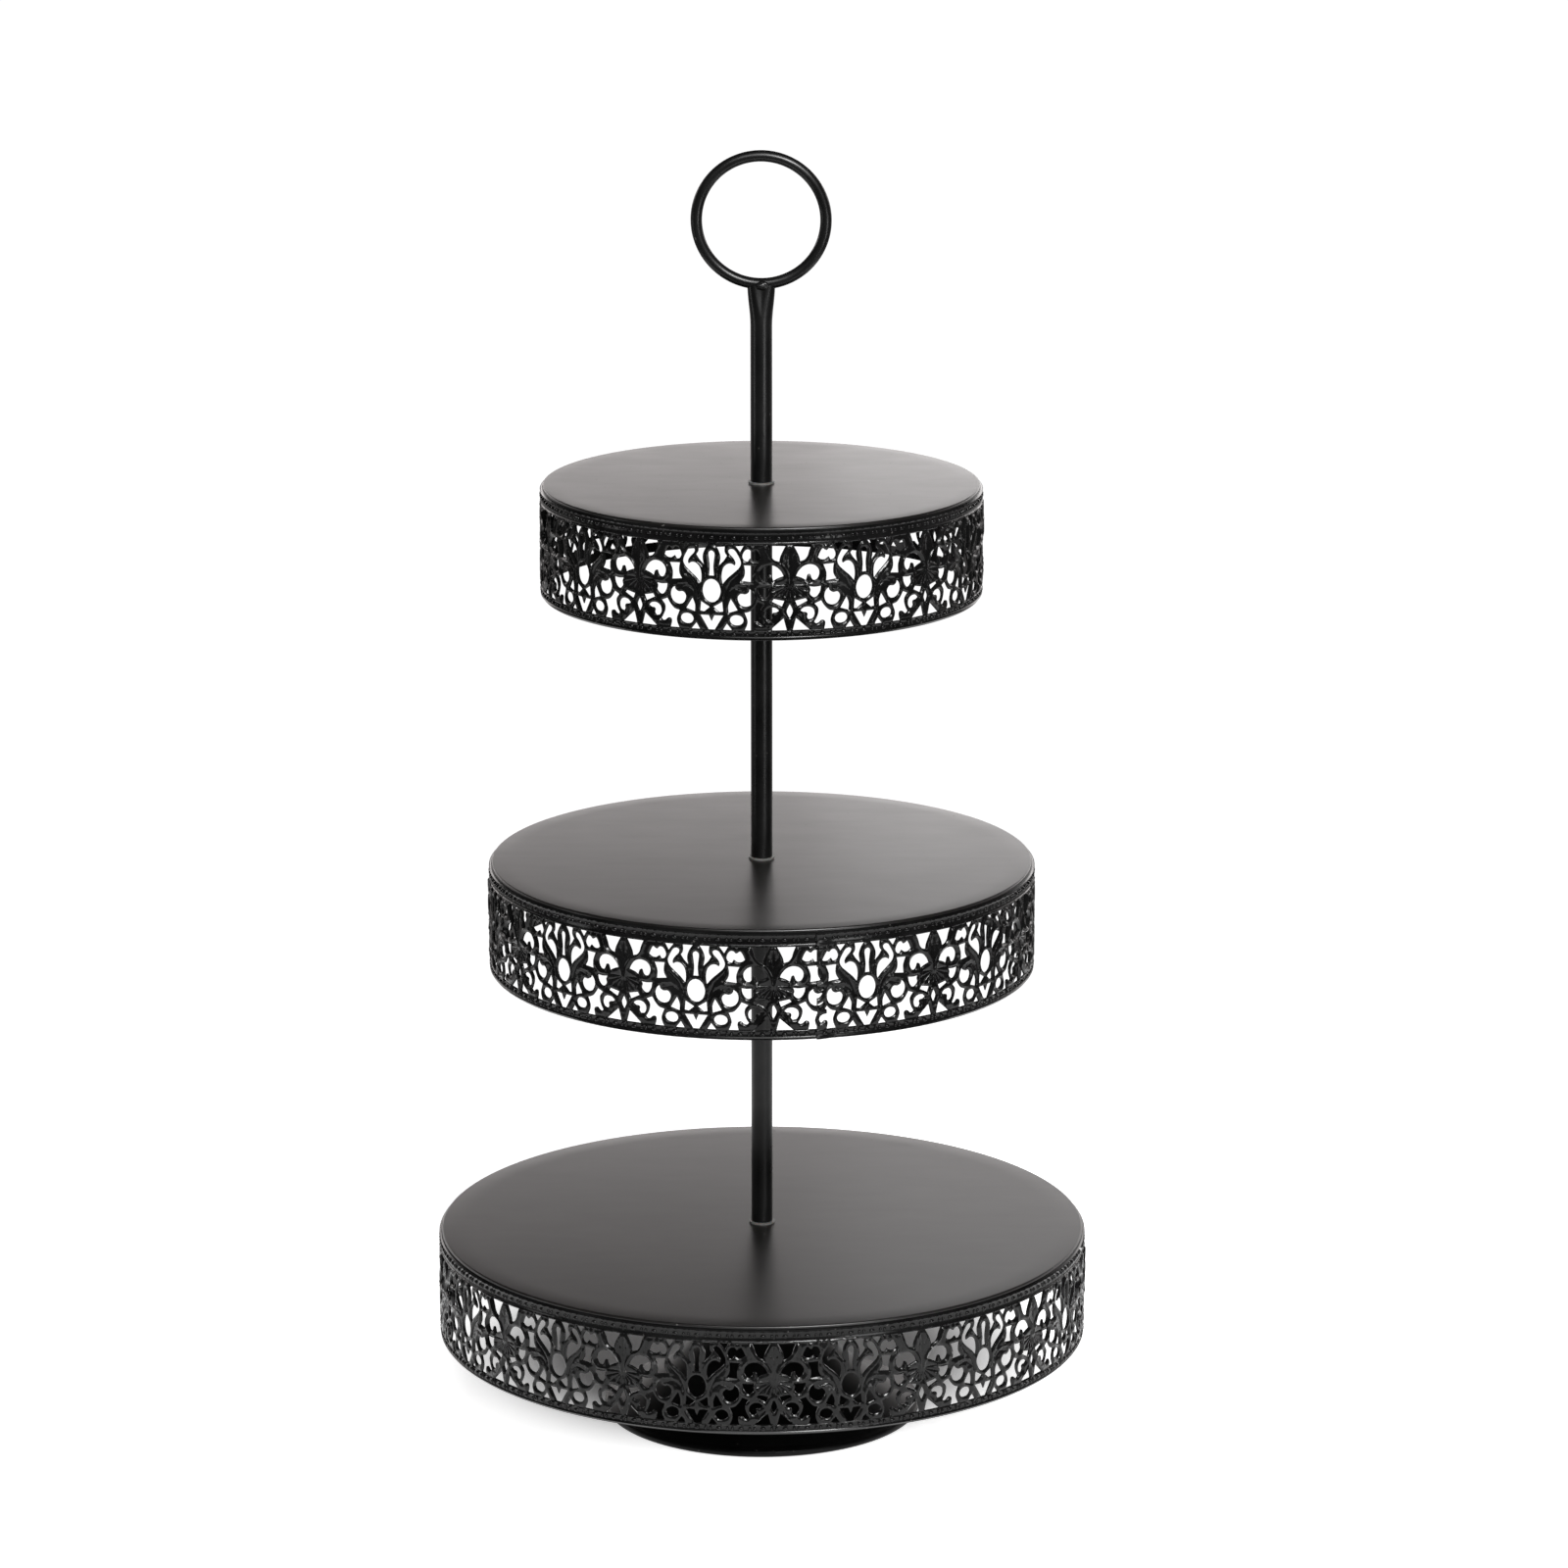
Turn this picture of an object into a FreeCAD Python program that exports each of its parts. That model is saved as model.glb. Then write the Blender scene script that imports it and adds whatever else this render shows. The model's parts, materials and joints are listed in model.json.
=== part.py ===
"""Three-tier cake stand of painted steel: a spun pedestal, three round trays with pierced lace bands,
screw-together rods and a ring handle.

Millimetres, +Z up, origin on the table at the centre of the foot. Every sub-part is written to
parts/NODE.step. Each rod ends in an M6 stud that passes through the tray under it and screws into the
nut of the pedestal or the socket at the top of the rod below.
"""

import FreeCAD
import Part
import math
import os

V = FreeCAD.Vector
X_AXIS = V(1, 0, 0)
Y_AXIS = V(0, 1, 0)
Z_AXIS = V(0, 0, 1)
ORIGIN = V(0, 0, 0)

# Driving dimensions: the stack of tiers
BOTTOM_TRAY_TOP = 92.0
TIER_SPACING = 178.5
TIERS = {  # outer radius of the lace band of each tier: plates of 8, 10 and 12 inches
    "bottom": 152.4,
    "middle": 127.0,
    "top": 101.6,
}

# Tray plates: flat discs with a bent-down rim that the lace band is soldered round
SHEET = 1.2
RIM_DEPTH = 6.0
RIM_BEND = 1.8
BAND_THICKNESS = 0.8
STUD_HOLE_R = 3.25

# Lace bands
BAND_HEIGHT = 50.1
BAND_DROP = 1.2  # from a tray's top down to the upper edge of its band
MOTIF = 70.4  # length of one repeat of the lace, along the band
SEAM_GAP = 0.3
PUNCH_LENGTH = 6.0
EDGE_MARGIN = 1.5  # solid metal left at the end of a strip

# Rods, studs and sockets, with an M6 x 1 thread
ROD_R = 5.0
ROD_WALL = 1.0
THREAD_R = 3.0
SOCKET_BORE_R = 3.05
THREAD_TRAVEL = 12.0
STUD_IN_ROD = 12.0
SOCKET_DEPTH = 14.0
STUD_CHAMFER = 0.8
WASHER_R = 6.0
WASHER_HOLE_R = 3.15
WASHER_THICKNESS = 0.8
SUPPORT_WASHER_R = 14.0
SUPPORT_WASHER_THICKNESS = 1.5

# Pedestal
FOOT_SHEET = 1.2
FOOT_OUTLINE = [  # radius and height of points on the outside of the spun foot, from the bead up
    (73.0, 3.6),
    (62.0, 9.6),
    (47.0, 19.5),
    (34.5, 32.0),
    (24.5, 47.0),
    (20.5, 61.0),
    (22.5, 73.0),
    (31.0, 83.5),
]
BEAD_RING_R = 73.3
BEAD_R = 1.7
LIP_INNER_R = 60.0
LIP_THICKNESS = 1.2
PAD_R = 4.5
PAD_THICKNESS = 0.8
PAD_CIRCLE_R = 66.0
PAD_COUNT = 4
FLANGE_R = 40.0
FLANGE_THICKNESS = 2.0
COLLAR_WALL = 1.5
NUT_ACROSS_FLATS = 12.0
NUT_HEIGHT = 12.0

# Ring handle
RING_OUTER_R = 32.1
RING_WIRE_R = 2.65
RING_CENTRE_Z = 571.0
FLAT_HALF_WIDTH = 6.3
FLAT_HALF_DEPTH = 3.6
FLAT_LENGTH = 22.0
FLAT_OVERLAP = 2.4  # how far the flattened end of the tube reaches up round the wire of the ring
WELD_HALF_SIZE = (7.0, 4.0, 3.2)

# Heights that follow from the driving dimensions
TRAY_TOPS = {
    "bottom": BOTTOM_TRAY_TOP,
    "middle": BOTTOM_TRAY_TOP + TIER_SPACING,
    "top": BOTTOM_TRAY_TOP + 2 * TIER_SPACING,
}
FLANGE_TOP = BOTTOM_TRAY_TOP - SHEET
TUBE_TOP = RING_CENTRE_Z - RING_OUTER_R + FLAT_OVERLAP


def save(name, shape):
    shape.exportStep("parts/" + name + ".step")


def ring_solid(outer_r, inner_r, z_low, z_high):
    """An upright tube."""
    height = z_high - z_low
    outer = Part.makeCylinder(outer_r, height, V(0, 0, z_low))
    return outer.cut(Part.makeCylinder(inner_r, height, V(0, 0, z_low)))


# ---- tray plates -------------------------------------------------------------------------------


def tray_plate(band_r, top):
    """A disc whose edge is bent down into a short rim, with a hole for the stud at its centre."""
    rim_r = band_r - BAND_THICKNESS
    inner_r = rim_r - SHEET
    bend_centre = V(rim_r - RIM_BEND, 0, top - RIM_BEND)
    bend_inner = RIM_BEND - SHEET
    slope = math.sqrt(0.5)
    edges = [
        Part.makeLine(V(STUD_HOLE_R, 0, top), V(rim_r - RIM_BEND, 0, top)),
        Part.Arc(
            V(rim_r - RIM_BEND, 0, top),
            bend_centre + V(RIM_BEND * slope, 0, RIM_BEND * slope),
            V(rim_r, 0, top - RIM_BEND),
        ).toShape(),
        Part.makeLine(V(rim_r, 0, top - RIM_BEND), V(rim_r, 0, top - RIM_DEPTH)),
        Part.makeLine(V(rim_r, 0, top - RIM_DEPTH), V(inner_r, 0, top - RIM_DEPTH)),
        Part.makeLine(V(inner_r, 0, top - RIM_DEPTH), V(inner_r, 0, top - RIM_BEND)),
        Part.Arc(
            V(inner_r, 0, top - RIM_BEND),
            bend_centre + V(bend_inner * slope, 0, bend_inner * slope),
            V(rim_r - RIM_BEND, 0, top - SHEET),
        ).toShape(),
        Part.makeLine(V(rim_r - RIM_BEND, 0, top - SHEET), V(STUD_HOLE_R, 0, top - SHEET)),
        Part.makeLine(V(STUD_HOLE_R, 0, top - SHEET), V(STUD_HOLE_R, 0, top)),
    ]
    face = Part.Face(Part.Wire(edges))
    return face.revolve(ORIGIN, Z_AXIS, 360)


# ---- lace bands --------------------------------------------------------------------------------

# One half of the repeat, from the middle of a palmette (u = 0) to the middle of a lily
# (u = half of MOTIF). u runs along the band and v up from its lower edge.
# An oval is (u, v, half width, half height), and a polygon is its corners.
OVALS = [
    (0.0, 22.5, 4.1, 5.4),  # eye of the palmette
    (7.7, 31.0, 2.5, 5.0),  # beside its middle leaves
    (15.4, 19.5, 3.5, 3.9),  # eye of the large scroll
    (11.4, 9.2, 2.9, 2.4),  # eye of the small loop
    (18.4, 39.3, 3.4, 2.6),  # under the top rail
    (26.9, 31.2, 4.3, 3.2),  # eye of the lily's scroll
    (23.6, 22.5, 2.4, 2.6),
    (27.0, 12.4, 2.5, 2.7),  # eye of the lower scroll
    (35.2, 13.4, 1.4, 3.0),  # foot of the lily
]
POLYGONS = [
    [(-1.3, 30.4), (1.3, 30.4), (1.6, 40.4), (-1.6, 40.4)],
    [(-4.6, 10.8), (0.0, 5.2), (4.6, 10.8)],
    [(1.9, 43.4), (3.8, 36.4), (6.0, 43.4)],
    [(14.3, 27.6), (18.3, 27.6), (19.5, 34.2), (14.6, 34.2)],
    [(7.9, 13.0), (11.2, 13.9), (8.6, 18.4)],
    [(27.6, 37.2), (30.9, 36.8), (33.3, 43.4), (25.6, 43.4)],
    [(26.6, 4.9), (33.7, 4.9), (33.2, 9.6)],
    [(17.2, 4.9), (20.2, 4.9), (20.9, 9.6), (22.4, 16.6), (20.4, 16.2), (17.4, 12.0)],
]
HALF_MOTIF = MOTIF / 2
ON_AXIS = 0.5  # an opening this close to a line of symmetry is its own mirror image

# The lap of each strip, in degrees anticlockwise from +X seen from above, and where the middle of a
# palmette comes, in degrees past the lap. The middle tier's lap is at the front, right of centre.
LAPS = {
    "bottom": (90.0, 20.8),
    "middle": (-78.7, 10.9),
    "top": (90.0, 6.0),
}


def oval_face(half_width, half_height):
    """An upright oval in the YZ plane. A circle is drawn as one, and any other as an ellipse."""
    if abs(half_width - half_height) < 0.01:
        edge = Part.Circle(ORIGIN, X_AXIS, half_width).toShape()
    else:
        tall = half_height > half_width
        major = V(0, 0, half_height) if tall else V(0, half_width, 0)
        minor = V(0, half_width, 0) if tall else V(0, 0, half_height)
        edge = Part.Ellipse(major, minor, ORIGIN).toShape()
    return Part.Face(Part.Wire([edge]))


def punch(face, radius, angle):
    """A radial punch of that outline, which passes through the band at the angle."""
    tool = face.translated(V(radius - PUNCH_LENGTH / 2, 0, 0)).extrude(V(PUNCH_LENGTH, 0, 0))
    tool.rotate(ORIGIN, Z_AXIS, angle)
    return tool


def openings_near(start, end):
    """(place along the strip, face) of every opening that lies whole between start and end."""
    found = []
    first = math.floor(start / MOTIF) - 1
    last = math.ceil(end / MOTIF) + 1
    for n in range(first, last + 1):
        for side in (1, -1):
            for u, v, a, b in OVALS:
                if side < 0 and (u < ON_AXIS or abs(u - HALF_MOTIF) < ON_AXIS):
                    continue
                place = n * MOTIF + side * u
                if start + a < place < end - a:
                    face = oval_face(a, b)
                    face.translate(V(0, 0, v))
                    found.append((place, face))
            for corners in POLYGONS:
                middle = sum(u for u, v in corners) / len(corners)
                if side < 0 and abs(middle) < ON_AXIS:
                    continue
                low = min(side * u for u, v in corners)
                high = max(side * u for u, v in corners)
                if n * MOTIF + low < start or n * MOTIF + high > end:
                    continue
                place = n * MOTIF + side * middle
                points = [V(0, side * (u - middle), v) for u, v in corners]
                found.append((place, Part.Face(Part.makePolygon(points + points[:1]))))
    return found


def lace_band(band_r, top, lap_deg, palmette_deg):
    """A pierced strip bent once round the rim of a tray, with a hairline gap where its ends meet."""
    bottom = top - BAND_DROP - BAND_HEIGHT
    length = 2 * math.pi * band_r
    gap_deg = math.degrees(SEAM_GAP / band_r)
    inner_low = V(band_r - BAND_THICKNESS, 0, bottom)
    outline = Part.makeBox(BAND_THICKNESS, BAND_THICKNESS, BAND_HEIGHT, inner_low)
    end_face = min(outline.Faces, key=lambda face: face.CenterOfMass.y)
    strip = end_face.revolve(ORIGIN, Z_AXIS, 360 - gap_deg)
    first = math.radians(palmette_deg) * band_r
    punches = []
    for place, face in openings_near(EDGE_MARGIN - first, length - EDGE_MARGIN - first):
        face.translate(V(0, 0, bottom))
        punches.append(punch(face, band_r, math.degrees((place + first) / band_r)))
    strip = strip.cut(Part.makeCompound(punches))
    strip.rotate(ORIGIN, Z_AXIS, lap_deg + gap_deg / 2)
    return strip.Solids[0]


# ---- rods, studs, sockets and washers --------------------------------------------------------------


def rod_tube(z_low, z_high):
    return ring_solid(ROD_R, ROD_R - ROD_WALL, z_low, z_high)


def stud(shoulder_z, below):
    """A threaded pin whose plug is held in the bottom of a rod, reaching that far below the rod."""
    plug = Part.makeCylinder(ROD_R - ROD_WALL, STUD_IN_ROD, V(0, 0, shoulder_z))
    tip_z = shoulder_z - below
    tip = Part.makeCone(THREAD_R - STUD_CHAMFER, THREAD_R, STUD_CHAMFER, V(0, 0, tip_z))
    thread = Part.makeCylinder(THREAD_R, below - STUD_CHAMFER, V(0, 0, tip_z + STUD_CHAMFER))
    return plug.fuse([thread, tip]).removeSplitter()


def socket(rod_top):
    """The threaded bush pressed into the top of a rod."""
    return ring_solid(ROD_R - ROD_WALL, SOCKET_BORE_R, rod_top - SOCKET_DEPTH, rod_top)


def thread_washer(z_low):
    """The thin nylon washer between a rod and the tray it stands on."""
    return ring_solid(WASHER_R, WASHER_HOLE_R, z_low, z_low + WASHER_THICKNESS)


def support_washer(z_low):
    """The wide steel washer that spreads a tray's load onto the rod under it."""
    return ring_solid(SUPPORT_WASHER_R, STUD_HOLE_R, z_low, z_low + SUPPORT_WASHER_THICKNESS)


# ---- ring handle -----------------------------------------------------------------------------------


def oval_wire(half_width, half_depth, z):
    """A level oval, as wide as it is deep or wider."""
    centre = V(0, 0, z)
    if half_width == half_depth:
        return Part.Wire([Part.Circle(centre, Z_AXIS, half_width).toShape()])
    oval = Part.Ellipse(centre + V(half_width, 0, 0), centre + V(0, half_depth, 0), centre)
    return Part.Wire([oval.toShape()])


def handle_ring():
    return Part.makeTorus(RING_OUTER_R - RING_WIRE_R, RING_WIRE_R, V(0, 0, RING_CENTRE_Z), Y_AXIS)


def flattened_bar(shrink, z_low):
    """A bar, round at its bottom and pressed to an oval at its top, that much smaller all round."""
    round_r = ROD_R - shrink
    straight_end = TUBE_TOP - FLAT_LENGTH
    straight = Part.makeCylinder(round_r, straight_end - z_low, V(0, 0, z_low))
    sections = [
        oval_wire(round_r, round_r, straight_end),
        oval_wire(FLAT_HALF_WIDTH - shrink, FLAT_HALF_DEPTH - shrink, TUBE_TOP),
    ]
    return straight.fuse(Part.makeLoft(sections, True)).removeSplitter()


def handle_tube(z_low):
    """The upper rod, pressed oval at its top and notched there to seat the ring."""
    return flattened_bar(0, z_low).cut(flattened_bar(ROD_WALL, z_low)).cut(handle_ring())


def handle_weld(tube):
    """The blob of weld round the place where the ring sits in the tube."""
    blob = Part.makeSphere(1)
    stretch = FreeCAD.Matrix()
    stretch.scale(V(*WELD_HALF_SIZE))
    blob = blob.transformGeometry(stretch)
    blob.translate(V(0, 0, TUBE_TOP))
    return blob.cut(handle_ring()).cut(tube)


# ---- pedestal --------------------------------------------------------------------------------------


def inset_points(curve, distance):
    """The points of an outline moved square to it, towards the axis and the table."""
    moved = []
    for r, z in FOOT_OUTLINE:
        point = V(r, 0, z)
        along = curve.tangent(curve.parameter(point))[0]
        moved.append(point + V(-along.z, 0, along.x) * distance)
    return moved


def foot_shell():
    """The spun foot: a wide flare on the table, a slim waist and a smaller flare under the tray."""
    curve = Part.BSplineCurve()
    curve.interpolate([V(r, 0, z) for r, z in FOOT_OUTLINE])
    inner = Part.BSplineCurve()
    inner.interpolate(inset_points(curve, FOOT_SHEET))
    sheet_edges = [curve.toShape(), inner.toShape()]
    low_end = Part.makeLine(curve.StartPoint, inner.StartPoint)
    high_end = Part.makeLine(curve.EndPoint, inner.EndPoint)
    face = Part.Face(Part.Wire(Part.__sortEdges__(sheet_edges + [low_end, high_end])))
    shell = face.revolve(ORIGIN, Z_AXIS, 360).cut(foot_ring())
    return max(shell.Solids, key=lambda solid: solid.Volume)


def foot_ring():
    """The beaded edge of the foot and the flat lip inside it that carries the pads."""
    bead = Part.makeTorus(BEAD_RING_R, BEAD_R, V(0, 0, PAD_THICKNESS + BEAD_R))
    lip = ring_solid(BEAD_RING_R, LIP_INNER_R, PAD_THICKNESS, PAD_THICKNESS + LIP_THICKNESS)
    return bead.fuse(lip).removeSplitter()


def top_flange():
    """The turned plate under the lowest tray, dished at its underside to meet the foot."""
    plate = ring_solid(FLANGE_R, STUD_HOLE_R, FLANGE_TOP - FLANGE_THICKNESS, FLANGE_TOP)
    foot_r, foot_top = FOOT_OUTLINE[-1]
    collar_low = foot_top + FOOT_SHEET
    collar = ring_solid(foot_r, foot_r - COLLAR_WALL, collar_low, FLANGE_TOP - FLANGE_THICKNESS)
    return plate.fuse(collar).removeSplitter()


def weld_nut():
    """The long hexagon nut welded under the flange, which takes the lowest stud."""
    nut_top = FLANGE_TOP - FLANGE_THICKNESS
    corner_r = NUT_ACROSS_FLATS / math.sqrt(3)
    corners = []
    for k in range(7):
        angle = math.radians(60 * k)
        corners.append(V(corner_r * math.cos(angle), corner_r * math.sin(angle), nut_top))
    body = Part.Face(Part.makePolygon(corners)).extrude(V(0, 0, -NUT_HEIGHT))
    return body.cut(Part.makeCylinder(SOCKET_BORE_R, NUT_HEIGHT, V(0, 0, nut_top - NUT_HEIGHT)))


def foot_pads():
    pads = []
    for k in range(PAD_COUNT):
        angle = 2 * math.pi * k / PAD_COUNT
        centre = V(PAD_CIRCLE_R * math.cos(angle), PAD_CIRCLE_R * math.sin(angle), 0)
        pads.append(Part.makeCylinder(PAD_R, PAD_THICKNESS, centre))
    return Part.makeCompound(pads)


# ---- the whole stand -------------------------------------------------------------------------------


def save_pedestal():
    save("pedestal_foot", foot_shell())
    save("pedestal_foot_ring", foot_ring())
    save("pedestal_foot_pads", foot_pads())
    save("pedestal_flange", top_flange())
    save("pedestal_weld_nut", weld_nut())


def save_tiers():
    for tier, band_r in TIERS.items():
        top = TRAY_TOPS[tier]
        save(tier + "_tray", tray_plate(band_r, top))
        save(tier + "_lace_band", lace_band(band_r, top, *LAPS[tier]))
        if tier != "bottom":
            save(tier + "_tray_washer", support_washer(top - SHEET - SUPPORT_WASHER_THICKNESS))


def save_rods():
    """Each rod stands on a tray, and the two lower ones end under the washer of the next tray."""
    for rod, tray, tray_above in (("lower_rod", "bottom", "middle"), ("middle_rod", "middle", "top")):
        foot = TRAY_TOPS[tray] + WASHER_THICKNESS
        head = TRAY_TOPS[tray_above] - SHEET - SUPPORT_WASHER_THICKNESS
        support = FLANGE_THICKNESS if tray == "bottom" else SUPPORT_WASHER_THICKNESS
        save(rod + "_washer", thread_washer(TRAY_TOPS[tray]))
        save(rod + "_tube", rod_tube(foot, head))
        save(rod + "_stud", stud(foot, WASHER_THICKNESS + SHEET + support + THREAD_TRAVEL))
        save(rod + "_socket", socket(head))


def save_handle():
    foot = TRAY_TOPS["top"] + WASHER_THICKNESS
    tube = handle_tube(foot)
    below = WASHER_THICKNESS + SHEET + SUPPORT_WASHER_THICKNESS + THREAD_TRAVEL
    save("handle_washer", thread_washer(TRAY_TOPS["top"]))
    save("handle_tube", tube)
    save("handle_stud", stud(foot, below))
    save("handle_ring", handle_ring())
    save("handle_weld", handle_weld(tube))


os.makedirs("parts", exist_ok=True)
save_pedestal()
save_tiers()
save_rods()
save_handle()
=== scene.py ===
"""The looks of a three-tier cake stand of black painted steel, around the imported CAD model.

Metres, in the CAD model's frame. The lace bands are the main pieces made here. Half of one repeat of
the lace is drawn flat, in millimetres, given its relief, mirrored, repeated into a strip, and bent
round its tray. The rest are CAD nodes in better materials, or turned or swept meshes in their place.
"""

import json
import math

import bmesh
import bpy
import numpy as np
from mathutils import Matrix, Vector
from mathutils.geometry import delaunay_2d_cdt


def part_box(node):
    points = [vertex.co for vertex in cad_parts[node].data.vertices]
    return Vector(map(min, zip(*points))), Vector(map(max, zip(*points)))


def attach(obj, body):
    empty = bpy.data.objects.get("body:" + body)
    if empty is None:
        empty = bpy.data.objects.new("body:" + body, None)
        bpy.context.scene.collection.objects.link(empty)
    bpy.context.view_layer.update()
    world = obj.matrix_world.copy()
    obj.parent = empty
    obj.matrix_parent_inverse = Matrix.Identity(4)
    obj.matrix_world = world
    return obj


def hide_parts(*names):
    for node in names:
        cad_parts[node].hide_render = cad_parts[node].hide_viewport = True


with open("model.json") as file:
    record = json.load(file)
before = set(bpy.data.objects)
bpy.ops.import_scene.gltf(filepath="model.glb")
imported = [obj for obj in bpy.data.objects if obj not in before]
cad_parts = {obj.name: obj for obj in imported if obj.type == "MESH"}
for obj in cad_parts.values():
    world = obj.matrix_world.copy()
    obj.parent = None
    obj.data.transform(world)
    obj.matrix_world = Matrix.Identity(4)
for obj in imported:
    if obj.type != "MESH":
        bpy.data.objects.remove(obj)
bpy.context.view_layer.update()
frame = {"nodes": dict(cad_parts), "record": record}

MM = 0.001

# ---- the lace, drawn flat ----
# Millimetres. u runs along the band, from the middle of a palmette (0) to the middle of a lily
# (HALF_REPEAT), and v runs up from the band's lower edge. The repeat's other half is a mirror image.

HALF_REPEAT = 35.2
BAND_HEIGHT = 50.1
BOTTOM_RAIL_TOP = 4.6
TOP_RAIL_BOTTOM = 43.5


def corner(u, v):
    """A sharp point of an outline. The other points are passed smoothly."""
    return (u, v, True)


# Openings that lie whole on one side of the palmette's axis.
PALMETTE_OPENINGS = [
    # between the middle leaf and the next one, under the top rail
    [corner(1.5, 43.5), corner(6.2, 43.5), (6.0, 41.3), (6.2, 39.9), corner(7.1, 38.6), (5.6, 36.3),
     corner(3.4, 34.0), (4.0, 37.0), (3.8, 39.2), (2.9, 41.4)],
    # the flame between the second and third leaves
    [(7.7, 41.0), (8.9, 41.8), (10.5, 41.2), (11.8, 39.3), (13.0, 36.9), (13.3, 35.0), (12.3, 32.9),
     (9.9, 30.6), (7.3, 28.3), corner(5.0, 25.6), (4.6, 28.0), (4.7, 30.6), (5.4, 33.0), (7.0, 34.7),
     (8.9, 35.1), corner(10.6, 34.2), (10.9, 35.2), (10.5, 36.5), (9.4, 38.0), (8.0, 39.5)],
    [corner(10.5, 43.5), corner(14.7, 43.5), corner(12.9, 40.3)],
    # the bat under the top rail
    [(14.0, 38.0), (14.5, 40.1), (15.8, 41.6), (17.2, 41.5), corner(18.2, 40.4), (19.2, 40.8),
     (20.2, 41.5), (21.4, 39.9), corner(22.4, 37.5), (20.8, 36.4), corner(19.0, 36.3),
     corner(17.3, 37.5), corner(16.4, 36.0), (15.0, 36.3)],
    # the spool between two scrolls
    [corner(14.7, 34.4), corner(19.9, 34.2), (18.9, 31.9), (18.4, 29.8), corner(18.6, 26.6),
     corner(13.6, 27.2), (14.9, 29.5), (15.1, 31.9)],
    # the eye of the large scroll, with the curl's tip reaching in
    [(11.8, 19.3), (12.9, 16.4), (15.5, 15.4), (18.2, 16.6), (19.4, 19.4), (18.8, 22.1),
     corner(17.2, 23.6), (16.8, 22.1), (15.3, 21.2), (13.1, 21.3)],
    [corner(8.8, 18.9), corner(11.9, 13.8), corner(7.7, 12.4), (7.6, 15.7)],
    [corner(4.9, 17.5), corner(5.3, 13.0), corner(3.5, 12.7), corner(0.8, 15.0), (3.0, 16.3)],
    [corner(7.0, 7.6), corner(9.4, 4.6), corner(5.2, 4.6)],
    # the small loop on the bottom rail
    [(8.3, 9.2), (9.3, 11.0), (11.4, 11.6), (13.6, 10.9), (14.5, 9.2), (13.6, 7.5), (11.4, 6.8),
     (9.3, 7.4)],
    # the large opening between the two motifs
    [corner(20.8, 17.8), corner(23.9, 16.5), (22.3, 14.5), (22.2, 12.2), (23.1, 9.8),
     corner(24.1, 8.2), (23.2, 7.3), (21.9, 7.6), (20.6, 8.7), (19.3, 8.5), (18.9, 7.2),
     corner(19.5, 4.6), corner(15.0, 4.6), (16.1, 7.2), (16.2, 9.3), corner(14.9, 12.7),
     (17.4, 13.4), (19.5, 15.6)],
]

# Openings beside the lily's axis, measured from that axis.
LILY_OPENINGS = [
    [corner(1.6, 43.5), corner(10.1, 43.5), (8.9, 40.6), (8.2, 38.3), (6.8, 36.6),
     corner(4.7, 35.9), (4.3, 38.0), (3.2, 40.5)],
    # the eye of the lily's scroll, with the curl's head in it
    [corner(2.8, 29.3), (3.8, 31.4), (5.8, 33.5), (8.5, 34.5), (11.4, 33.9), (13.3, 31.9),
     (13.5, 29.5), (12.4, 27.5), (10.8, 27.2), (9.8, 28.4), (9.3, 29.9), (8.2, 29.7),
     corner(7.4, 27.2), (5.6, 28.3)],
    [corner(8.8, 24.4), (11.5, 24.1), corner(14.4, 24.4), (14.0, 22.0), (12.6, 19.8), (10.9, 19.3),
     (9.1, 21.0), (9.4, 22.9)],
    [corner(2.4, 18.1), corner(7.2, 19.1), corner(8.1, 17.8), corner(3.5, 15.5)],
    # the crescent in the lowest scroll
    [corner(4.8, 13.6), (6.3, 14.9), (8.8, 15.2), (10.9, 13.9), (11.4, 11.5), (10.4, 9.7),
     corner(8.6, 9.3), (7.8, 10.5), (8.1, 11.8), (7.5, 12.6), (6.0, 12.8)],
    [corner(2.8, 10.2), corner(9.1, 4.6), corner(1.3, 4.6)],
]

# Openings that the palmette's axis halves: one side of each, from axis to axis, clockwise.
PALMETTE_AXIS_OPENINGS = [
    [corner(0, 40.8), (1.1, 40.2), (1.5, 39.0), (1.2, 36.5), (0.9, 33.6), (1.0, 31.2),
     corner(1.2, 29.2), corner(0, 29.2)],
    [corner(0, 27.8), (1.7, 27.3), (3.4, 25.5), (4.2, 22.4), (3.4, 19.3), (1.7, 17.5),
     corner(0, 17.0)],
    [corner(0, 8.4), corner(1.2, 11.2), corner(5.3, 11.2), corner(1.4, 4.6), corner(0, 4.6)],
]
LILY_AXIS_OPENINGS = [
    [corner(0, 16.5), (0.8, 15.1), (1.4, 13.3), (0.8, 11.5), corner(0, 10.1)],
]

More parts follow.
